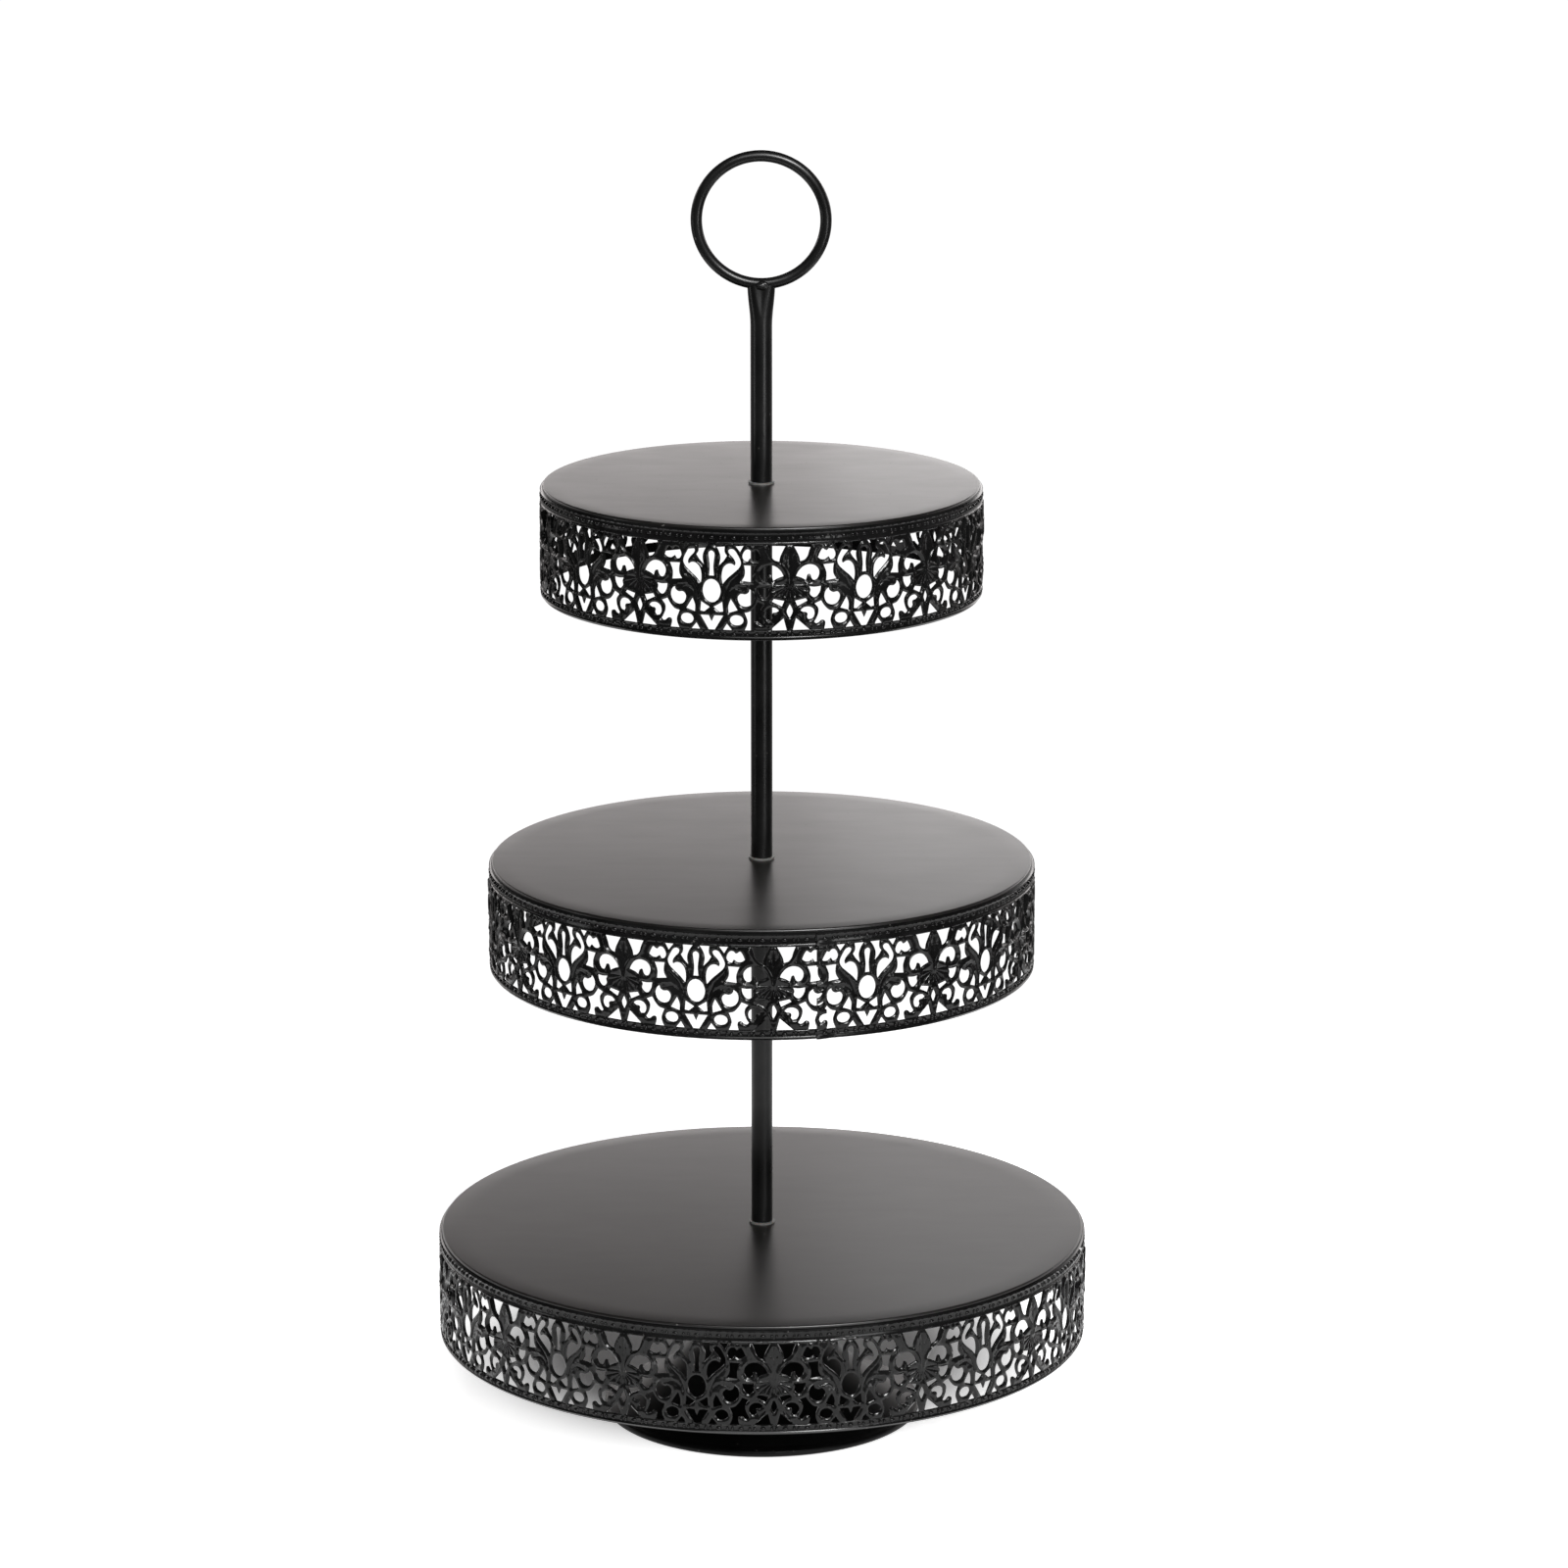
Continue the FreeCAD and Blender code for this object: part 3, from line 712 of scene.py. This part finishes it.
# The spun foot's outside, as points (radius, height) from its bead to its top.
FOOT_OUTLINE = [
    (73.0, 3.6), (62.0, 9.6), (47.0, 19.5), (34.5, 32.0), (24.5, 47.0), (20.5, 61.0), (22.5, 73.0),
    (31.0, 83.5),
]
FOOT_STEP = 1.5
FOOT_BEAD_R = 1.75
FOOT_BEAD_RING_R = 73.25
FOOT_BEAD_Z = 2.5
FOOT_LIP_R = 60.0
FLANGE_THICKNESS = 2.0
COLLAR_HALF_WALL = 1.4


def grid_faces(rows, columns, closed_rows=False):
    """Quads between rows of points whose columns run all the way round."""
    faces = []
    for i in range(rows if closed_rows else rows - 1):
        for k in range(columns):
            a, b = i * columns + k, i * columns + (k + 1) % columns
            c, d = (i + 1) % rows * columns + (k + 1) % columns, (i + 1) % rows * columns + k
            faces.append((a, b, c, d))
    return faces


def turned(name, profile, sides):
    """A closed outline of (radius, height) points, counterclockwise, turned round Z."""
    angles = 2 * np.pi * np.arange(sides) / sides
    points = [(r * np.cos(a), r * np.sin(a), z) for r, z in profile for a in angles]
    faces = grid_faces(len(profile), sides, closed_rows=True)
    return new_mesh(name, points, faces, SHARP_DEGREES["turned"])


def arc(centre, radius, start_deg, end_deg, steps):
    """Points of an arc in the plane of (radius, height)."""
    found = []
    for k in range(steps + 1):
        angle = math.radians(start_deg + (end_deg - start_deg) * k / steps)
        found.append((centre[0] + radius * math.cos(angle), centre[1] + radius * math.sin(angle)))
    return found


def make_tray(tier):
    """The plate of one tier, with its edge rolled over into a short rim."""
    low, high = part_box(tier + "_tray")
    rim_r, top, bottom = high.x / MM, high.z / MM, low.z / MM
    levels = np.linspace(STUD_HOLE_R, rim_r - RIM_BEND, PLATE_RINGS)
    profile = [(rim_r, bottom)] + arc((rim_r - RIM_BEND, top - RIM_BEND), RIM_BEND, 0, 90, 8)
    profile += [(r, top) for r in levels[::-1][1:]]
    profile += [(r, top - SHEET) for r in levels[:-1]]
    profile += [(rim_r - SHEET, top - SHEET), (rim_r - SHEET, bottom)]
    piece = turned(tier + "_plate", profile, TURN_SIDES["plate"])
    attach(piece, TRAY_BODIES[tier])
    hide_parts(tier + "_tray")
    return piece


def make_rod(node, body):
    """A plain rod with its cut ends broken."""
    low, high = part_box(node)
    r, bottom, top = high.x / MM, low.z / MM, high.z / MM
    bore, edge = r - ROD_WALL, ROD_EDGE
    profile = [(bore, bottom), (r - edge, bottom)] + arc((r - edge, bottom + edge), edge, -90, 0, 4)
    profile += [(r, z) for z in np.linspace(bottom + ROD_END, top - ROD_END, ROD_RINGS)]
    profile += arc((r - edge, top - edge), edge, 0, 90, 4) + [(bore, top)]
    piece = turned(node.replace("_tube", "_bar"), profile, TURN_SIDES["rod"])
    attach(piece, body)
    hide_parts(node)
    return piece


def handle_section(z, bottom, top):
    """Points round the handle tube at one height."""
    flatness = eased(min(max((z - (top - FLAT_LENGTH)) / FLAT_LENGTH, 0), 1))
    a, b = (HANDLE_R + (half_size - HANDLE_R) * flatness for half_size in FLAT_HALF_SIZE)
    if z == bottom:
        a, b = a - HANDLE_CHAMFER, b - HANDLE_CHAMFER
    crease = min(max((z - (top - CREASE_LENGTH)) / CREASE_LENGTH, 0), 1)
    width = CREASE_WIDTH + CREASE_SPREAD * crease
    points = []
    for k in range(TURN_SIDES["handle"]):
        angle = 2 * math.pi * k / TURN_SIDES["handle"]
        x, y = a * math.cos(angle), b * math.sin(angle)
        pinch = CREASE_DEPTH * crease * math.exp(-((x / width) ** 2) * CREASE_SHARPNESS)
        y -= math.copysign(min(pinch, abs(y)), y)
        points.append((x, y, z))
    return points


def make_handle_tube():
    """The upper rod, its top pressed flat round the ring and creased in front and behind."""
    low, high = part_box("handle_tube")
    bottom, top = low.z / MM, high.z / MM
    heights = [bottom, bottom + HANDLE_CHAMFER]
    heights += list(np.linspace(bottom + ROD_END, top - FLAT_LENGTH, ROD_RINGS))
    heights += list(np.linspace(top - FLAT_LENGTH, top, FLAT_RINGS))[1:]
    points = []
    for z in heights:
        points += handle_section(z, bottom, top)
    sides = TURN_SIDES["handle"]
    faces = grid_faces(len(heights), sides)
    faces.append(list(range(sides))[::-1])
    faces.append([(len(heights) - 1) * sides + k for k in range(sides)])
    piece = new_mesh("handle_bar", points, faces, SHARP_DEGREES["handle"])
    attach(piece, "handle")
    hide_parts("handle_tube")
    return piece


def make_ring():
    """The ring of round bar, bent by hand and so not quite true."""
    low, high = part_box("handle_ring")
    centre_z, outer = (low.z + high.z) / 2 / MM, high.x / MM
    wire = high.y / MM
    around, across = RING_STEPS
    points = []
    for i in range(around):
        angle = 2 * math.pi * i / around
        middle = outer - wire + RING_OUT_OF_ROUND * math.cos(2 * angle + RING_PHASE)
        for k in range(across):
            turn = 2 * math.pi * k / across
            r = middle + wire * math.cos(turn)
            z = centre_z + r * math.sin(angle)
            points.append((r * math.cos(angle), -wire * math.sin(turn), z))
    piece = new_mesh("ring_bar", points, grid_faces(around, across, closed_rows=True))
    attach(piece, "handle")
    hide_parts("handle_ring")
    return piece


def weld_swell(place):
    """How far the weld's surface stands out at a place on a ball of radius 1."""
    swell = 1.0
    for n, (fx, fy, fz, phase) in enumerate(WELD_WAVES):
        wave = math.cos(fy * place.y + fz * place.z)
        swell += WELD_LUMP / (n + 1) ** 1.6 * math.sin(fx * place.x + phase) * wave
    return swell


def make_weld():
    """The lumpy bead of weld where the ring sits in the rod."""
    low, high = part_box("handle_weld")
    centre_z = (low.z + high.z) / 2 / MM
    mesh = bmesh.new()
    bmesh.ops.create_icosphere(mesh, subdivisions=5, radius=1)
    points = np.array([v.co * weld_swell(v.co) for v in mesh.verts]) * WELD_HALF_SIZE
    faces = [[v.index for v in f.verts] for f in mesh.faces]
    mesh.free()
    points += [WELD_OFF_CENTRE, 0, centre_z - WELD_OFF_CENTRE]
    piece = new_mesh("ring_weld", points, faces)
    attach(piece, "handle")
    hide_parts("handle_weld")
    return piece


def make_foot():
    """The spun foot, with its edge rolled into a bead and a collar up to the flange."""
    flange_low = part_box("pedestal_flange")[1].z / MM - FLANGE_THICKNESS
    outside = smooth_open(FOOT_OUTLINE, FOOT_STEP)
    inside_line = outside - right_of(np.gradient(outside, axis=0)) * SHEET
    top_r = FOOT_OUTLINE[-1][0]
    profile = arc((FOOT_BEAD_RING_R, FOOT_BEAD_Z), FOOT_BEAD_R, -90, 75, 12)
    profile += [tuple(p) for p in outside[1:]]
    profile += [(top_r + COLLAR_HALF_WALL, flange_low), (top_r - COLLAR_HALF_WALL, flange_low)]
    profile += [tuple(p) for p in inside_line[::-1][:-1]]
    profile += [(FOOT_BEAD_RING_R - 2.2, FOOT_BEAD_Z + 0.6), (FOOT_LIP_R, FOOT_BEAD_Z - 0.5)]
    profile += [(FOOT_LIP_R, FOOT_BEAD_Z - FOOT_BEAD_R)]
    piece = turned("foot_shell", profile, TURN_SIDES["foot"])
    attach(piece, "pedestal")
    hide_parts("pedestal_foot", "pedestal_foot_ring")
    return piece


# ---- materials ----

TRAY_CROWN = 0.8  # millimetres that a tray's shading falls from its middle out to this many metres
CROWN_R = 0.1
SPECK_RAMP = (0.76, 0.79)  # of the grit noise, from bare paint to a speck of dust


class Nodes:
    """A node tree, with short calls for the nodes used here."""

    def __init__(self, tree):
        self.tree = tree

    def add(self, kind, **values):
        node = self.tree.nodes.new(kind)
        for key, value in values.items():
            if key in node.inputs:
                node.inputs[key].default_value = value
            else:
                setattr(node, key, value)
        return node

    def link(self, source, target):
        self.tree.links.new(source, target)

    def ramp(self, source, *stops):
        """Maps a value through (place, grey or colour) stops."""
        node = self.add("ShaderNodeValToRGB")
        elements = node.color_ramp.elements
        while len(elements) < len(stops):
            elements.new(0.5)
        for element, (place, colour) in zip(elements, stops):
            grey = not isinstance(colour, tuple)
            element.position = place
            element.color = (colour, colour, colour, 1) if grey else (*colour, 1)
        self.link(source, node.inputs["Fac"])
        return node.outputs["Color"]

    def ranged(self, source, near, far, low=0.0, high=1.0):
        """Maps a value smoothly, from low where it is near to high where it is far."""
        ends = {"From Min": near, "From Max": far, "To Min": low, "To Max": high}
        node = self.add("ShaderNodeMapRange", interpolation_type="SMOOTHSTEP", **ends)
        self.link(source, node.inputs["Value"])
        return node.outputs[0]

    def mixed(self, factor, a, b):
        """Colour a where the factor is 0 and b where it is 1."""
        node = self.add("ShaderNodeMix", data_type="RGBA")
        self.link(factor, node.inputs["Factor"])
        for name, value in (("A", a), ("B", b)):
            socket = [i for i in node.inputs if i.name == name and i.type == "RGBA"][0]
            if isinstance(value, tuple):
                socket.default_value = (*value, 1)
            else:
                self.link(value, socket)
        return [o for o in node.outputs if o.type == "RGBA"][0]


class Coat(Nodes):
    """A material and its shader, some of whose sockets are given values."""

    def __init__(self, name, **sockets):
        self.material = bpy.data.materials.new(name)
        self.material.use_nodes = True
        super().__init__(self.material.node_tree)
        self.tree.nodes.clear()
        self.shader = self.add("ShaderNodeBsdfPrincipled", **sockets)
        out = self.add("ShaderNodeOutputMaterial")
        self.link(self.shader.outputs[0], out.inputs[0])
        self.place = self.add("ShaderNodeTexCoord").outputs["Object"]

    def noise(self, size_mm, detail=2.0, roughness=0.5, stretch=None):
        """Noise whose features are about that size."""
        scale = 1.0 / (size_mm * MM)
        node = self.add("ShaderNodeTexNoise", Scale=scale, Detail=detail, Roughness=roughness)
        place = self.place
        if stretch:
            mapping = self.add("ShaderNodeMapping", Scale=stretch)
            self.link(place, mapping.inputs["Vector"])
            place = mapping.outputs[0]
        self.link(place, node.inputs["Vector"])
        return node.outputs["Fac"]

    def feed(self, name, source):
        """Links a source to one of the shader's sockets."""
        self.link(source, self.shader.inputs[name])

    def dusted(self, grit, base, sheen, dust_colour, dust_roughness):
        """Base colour and roughness, with a few specks of dust."""
        specks = self.ramp(grit, (SPECK_RAMP[0], 0.0), (SPECK_RAMP[1], 1.0))
        self.feed("Base Color", self.mixed(specks, base, dust_colour))
        self.feed("Roughness", self.mixed(specks, sheen, (dust_roughness,) * 3))

    def bump(self, *layers):
        """Bumps of (height source, depth in millimetres), one on the other."""
        normal = None
        for source, depth in layers:
            node = self.add("ShaderNodeBump", Strength=1.0, Distance=depth * MM)
            self.link(source, node.inputs["Height"])
            if normal is not None:
                self.link(normal, node.inputs["Normal"])
            normal = node.outputs[0]
        self.feed("Normal", normal)


def painted(name, rough, level, dark=0.0025, light=0.007):
    """Satin black powder coat: fine orange peel, uneven sheen, and a few specks of dust."""
    m = Coat(name, **{"Specular IOR Level": level})
    cloud = m.noise(22.0, 3.0, 0.55)
    base = m.ramp(cloud, (0.35, dark), (0.7, light))
    sheen = m.ramp(m.noise(9.0, 4.0, 0.6), (0.3, rough[0]), (0.7, rough[1]))
    m.dusted(m.noise(2.6, 1.0), base, sheen, (0.05, 0.047, 0.045), 0.5)
    m.bump((cloud, 0.06), (m.noise(1.1, 2.0), 0.008))
    return m.material


def tray_paint():
    """The trays' tops: the same coat, faintly wiped, with the slight crown of pressed sheet."""
    m = Coat("tray_paint", **{"Specular IOR Level": 0.45})
    cloud = m.noise(38.0, 3.0, 0.5)
    wipe = m.noise(14.0, 4.0, 0.65, (0.4, 1.4, 1.0))
    base = m.ramp(cloud, (0.3, (0.004, 0.0036, 0.0034)), (0.75, (0.009, 0.0081, 0.0076)))
    sheen = m.ramp(wipe, (0.3, 0.30), (0.75, 0.33))
    m.dusted(m.noise(2.2, 1.0), base, sheen, (0.11, 0.105, 0.1), 0.62)
    flat = m.add("ShaderNodeVectorMath", operation="MULTIPLY")
    flat.inputs[1].default_value = (1 / CROWN_R, 1 / CROWN_R, 0.0)
    m.link(m.place, flat.inputs[0])
    square = m.add("ShaderNodeVectorMath", operation="DOT_PRODUCT")
    m.link(flat.outputs[0], square.inputs[0])
    m.link(flat.outputs[0], square.inputs[1])
    m.bump((square.outputs["Value"], -TRAY_CROWN), (cloud, 0.016), (m.noise(1.0, 2.0), 0.004))
    return m.material


def zinc():
    """Zinc-plated steel, brushed and a little dulled."""
    m = Coat("zinc", Metallic=1.0)
    streaks = m.noise(0.5, 3.0, 0.6, (1.0, 1.0, 0.12))
    base = m.ramp(m.noise(4.0, 3.0), (0.3, (0.42, 0.43, 0.44)), (0.7, (0.62, 0.62, 0.6)))
    m.feed("Base Color", base)
    m.feed("Roughness", m.ramp(streaks, (0.3, 0.28), (0.7, 0.45)))
    m.bump((streaks, 0.01))
    return m.material


def nylon():
    """Translucent nylon, a little scuffed, its colour painted a dark grey: painted shade from the
    black paint round it.
    """
    m = Coat("nylon", **{"Subsurface Weight": 0.15, "Subsurface Scale": 0.001})
    # Painted shade: the nylon itself is paler; this dark grey stands in for the shade of the black
    # paint round it.
    base = m.ramp(m.noise(2.0, 3.0), (0.3, (0.09, 0.09, 0.085)), (0.7, (0.15, 0.147, 0.142)))
    m.feed("Base Color", base)
    m.feed("Roughness", m.ramp(m.noise(0.8, 2.0), (0.3, 0.38), (0.7, 0.5)))
    m.bump((m.noise(0.4, 2.0), 0.01))
    return m.material


def rubber():
    """Matt black rubber with a fine grain."""
    m = Coat("rubber")
    grain = m.noise(0.5, 3.0)
    m.feed("Base Color", m.ramp(grain, (0.3, 0.012), (0.7, 0.03)))
    m.feed("Roughness", m.ramp(m.noise(3.0, 2.0), (0.3, 0.72), (0.7, 0.85)))
    m.bump((grain, 0.03))
    return m.material


def dress(piece, material):
    """Gives a piece one material in place of any that it has."""
    piece.data.materials.clear()
    piece.data.materials.append(material)


# ---- the studio ----

FLOOR_RADIUS = 0.85
FLOOR_SIDES = 128
PAINTED_SHADOW_CENTRE = (-0.01, 0.08, 0)  # centre of a painted shadow: near here the floor's glow is turned down
ROOM_LIGHT = 0.03
# Of the wall behind: the sine of the angle above the horizon, and how bright it is there.
WALL_LIGHT = (
    (0.0, 0.1), (0.05, 0.25), (0.11, 1.0), (0.14, 1.0), (0.195, 0.72), (0.245, 0.25), (0.285, 0.03),
    (0.45, 0.005),
)
WALL_STRENGTH = 3.3
WALL_TINT = (1.0, 0.955, 0.945)
WALL_EDGE = 0.7  # how far along +Y a direction points where the wall is fully bright
BACKDROP_STRENGTH = 1.05
LIGHTS = (
    # name, place, target, size, radiance
    ("top_light", (0.3, -1.7, 1.95), (0, 0.1, 0.0), (2.0, 1.1), 5.0),
    ("back_light", (0.64, 0.95, 0.58), (0.64, 0.0, 0.58), (1.2, 0.5), 0.7),
    ("key_light", (0.62, -1.68, 1.64), (0, 0, 0.35), (0.6, 0.4), 62.0),
    ("right_strip", (0.95, -1.4, 0.2), (0, 0, 0.3), (0.42, 0.36), 8.0),
    ("left_strip", (-1.5, -0.3, 0.2), (0, 0, 0.3), (0.3, 0.36), 3.0),
)
CAMERA_LENS = 144.6
CAMERA_PLACE = (0.0104, -2.843, 1.028)
CAMERA_TILT = 14.25  # degrees below level


def area_light(name, place, target, size, radiance):
    """A rectangular soft light of that brightness, facing its target. The camera doesn't see it."""
    light = bpy.data.lights.new(name, "AREA")
    light.shape = "RECTANGLE"
    light.size, light.size_y = size
    light.energy = radiance * math.pi * size[0] * size[1]
    lamp = new_object(name, light)
    lamp.location = place
    lamp.rotation_euler = (Vector(target) - Vector(place)).to_track_quat("-Z", "Y").to_euler()
    lamp.visible_camera = False


def make_floor():
    """A round white floor that glows, but for a painted shadow by the foot where its glow is turned
    down, and fades out at its edge.
    """
    angles = [2 * math.pi * k / FLOOR_SIDES for k in range(FLOOR_SIDES)]
    radius = FLOOR_RADIUS / MM
    rim = [(radius * math.cos(a), radius * math.sin(a), 0) for a in angles]
    floor = new_mesh("floor", rim, [range(FLOOR_SIDES)])
    colours = {"Base Color": (0.85, 0.85, 0.85, 1), "Emission Color": (1, 1, 1, 1)}
    m = Coat("floor_white_painted_shadow", Roughness=0.9, **colours, **{"Specular IOR Level": 0.0})
    # The glow falls to almost nothing round the shadow's centre: a painted shadow under the stand.
    for socket, centre, *span in (
        ("Alpha", (0, 0, 0), FLOOR_RADIUS * 0.6, FLOOR_RADIUS * 0.95, 1.0, 0.0),
        ("Emission Strength", PAINTED_SHADOW_CENTRE, 0.08, 0.16, 0.02, 0.95),
    ):
        length = m.add("ShaderNodeVectorMath", operation="DISTANCE")
        length.inputs[1].default_value = centre
        m.link(m.place, length.inputs[0])
        m.feed(socket, m.ranged(length.outputs["Value"], *span))
    dress(floor, m.material)


def make_surround():
    """White to look at. What it lights is a dim room with a bright wall low behind the stand."""
    world = bpy.data.worlds.new("studio")
    world.use_nodes = True
    sky = Nodes(world.node_tree)
    parts = sky.add("ShaderNodeSeparateXYZ")
    sky.link(sky.add("ShaderNodeTexCoord").outputs["Generated"], parts.inputs[0])
    stops = [(height, tuple(light * part for part in WALL_TINT)) for height, light in WALL_LIGHT]
    wall = sky.ramp(parts.outputs["Z"], *stops)
    behind = sky.ranged(parts.outputs["Y"], 0.0, WALL_EDGE)
    room = sky.tree.nodes["Background"]
    dim = ROOM_LIGHT / WALL_STRENGTH
    sky.link(sky.mixed(behind, (dim, dim, dim), wall), room.inputs["Color"])
    room.inputs["Strength"].default_value = WALL_STRENGTH
    white = sky.add("ShaderNodeBackground", Strength=BACKDROP_STRENGTH, Color=(1, 1, 1, 1))
    mix = sky.add("ShaderNodeMixShader")
    sky.link(sky.add("ShaderNodeLightPath").outputs["Is Camera Ray"], mix.inputs["Fac"])
    sky.link(room.outputs[0], mix.inputs[1])
    sky.link(white.outputs[0], mix.inputs[2])
    sky.link(mix.outputs[0], sky.tree.nodes["World Output"].inputs["Surface"])
    bpy.context.scene.world = world


def make_studio():
    """The floor, the surround and the lights."""
    make_floor()
    make_surround()
    for light in LIGHTS:
        area_light(*light)


def make_camera():
    """The front view, from a little above and nearly three metres away."""
    eye = new_object("camera", bpy.data.cameras.new("camera"))
    eye.data.lens = CAMERA_LENS
    eye.location = CAMERA_PLACE
    eye.rotation_euler = (math.radians(90 - CAMERA_TILT), 0, 0)
    bpy.context.scene.camera = eye


def main():
    """Makes every piece, gives each its material, and sets the scene."""
    black = painted("black_paint", rough=(0.27, 0.34), level=0.33)
    # Painted shade: the foot gets a darker, less shiny copy of the black paint, as if in shade under
    # the bottom tray.
    foot_shaded_black = painted("foot_paint_painted_shade", rough=(0.37, 0.44), level=0.14, dark=0.001, light=0.003)
    lace_black = painted("lace_paint", rough=(0.15, 0.21), level=0.19)
    tray_black = tray_paint()
    half = half_repeat()
    for tier in TRAY_BODIES:
        for number in range(len(STRIPS[tier])):
            dress(make_lace(half, tier, number), lace_black)
        dress(make_tray(tier), tray_black)
    for node, body in (("lower_rod_tube", "lower_rod"), ("middle_rod_tube", "middle_rod")):
        dress(make_rod(node, body), black)
    for piece in (make_handle_tube(), make_ring(), make_weld()):
        dress(piece, black)
    dress(make_foot(), foot_shaded_black)
    finishes = {"black_paint": black, "zinc_steel": zinc(), "nylon": nylon(), "pad_rubber": rubber()}
    slots = {part["node"]: part["material_slot"] for part in frame["record"]["subparts"]}
    for node, thing in frame["nodes"].items():
        dress(thing, finishes[slots[node]])
    make_studio()
    make_camera()
    bpy.context.scene.view_settings.view_transform = "Standard"


main()
